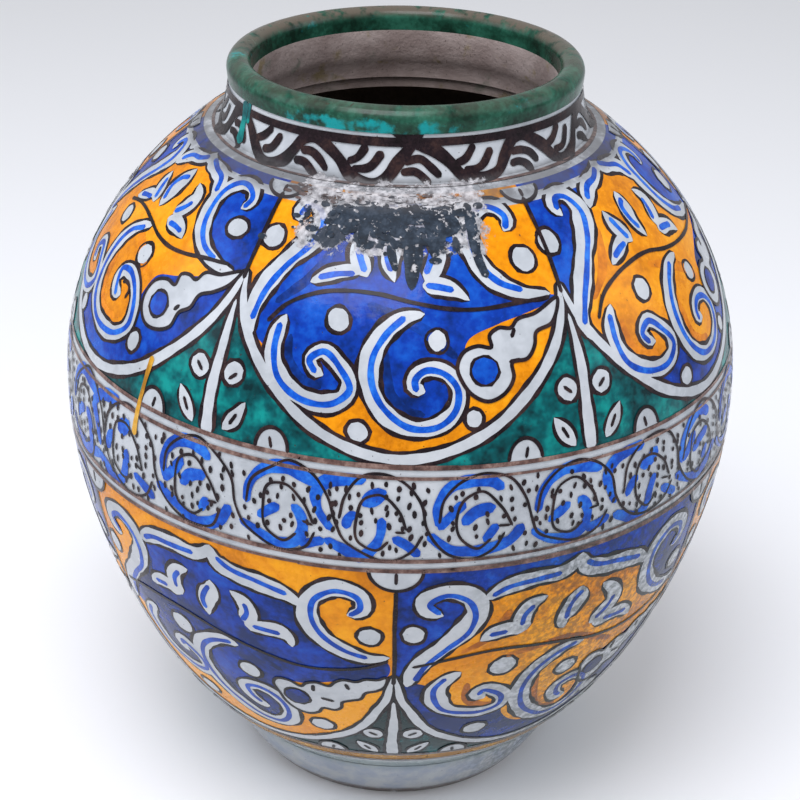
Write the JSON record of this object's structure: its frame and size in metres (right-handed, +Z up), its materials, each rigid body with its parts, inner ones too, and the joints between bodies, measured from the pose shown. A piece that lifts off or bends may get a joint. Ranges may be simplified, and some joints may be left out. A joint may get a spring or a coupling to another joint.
{
  "type": "painted pottery jar",
  "caption": "Big round-bellied tin-glazed earthenware jar with a foot ring, a short neck and a rolled rim, painted with panels and bands.",
  "frame": {"origin": "middle of the foot ring's resting face", "axes": "+Z up along the jar's turning axis, towards the mouth; +X to the right and -Y to the front of the painted pattern"},
  "size_m": [0.4248, 0.4248, 0.48],
  "materials": {
    "tin_glaze": "glossy",
    "cobalt_glaze": "glossy",
    "orange_glaze": "glossy",
    "green_glaze": "glossy",
    "outline_glaze": "glossy",
    "rim_glaze": "glossy",
    "bare_clay": "matte"
  },
  "bodies": {
    "root": {"foot_ring": "tin_glaze", "base_disc": "tin_glaze", "lower_body": "tin_glaze", "belly": "tin_glaze", "shoulder": "tin_glaze", "neck_bead": "tin_glaze", "neck": "tin_glaze", "rim_roll": "rim_glaze"}
  },
  "joints": []
}
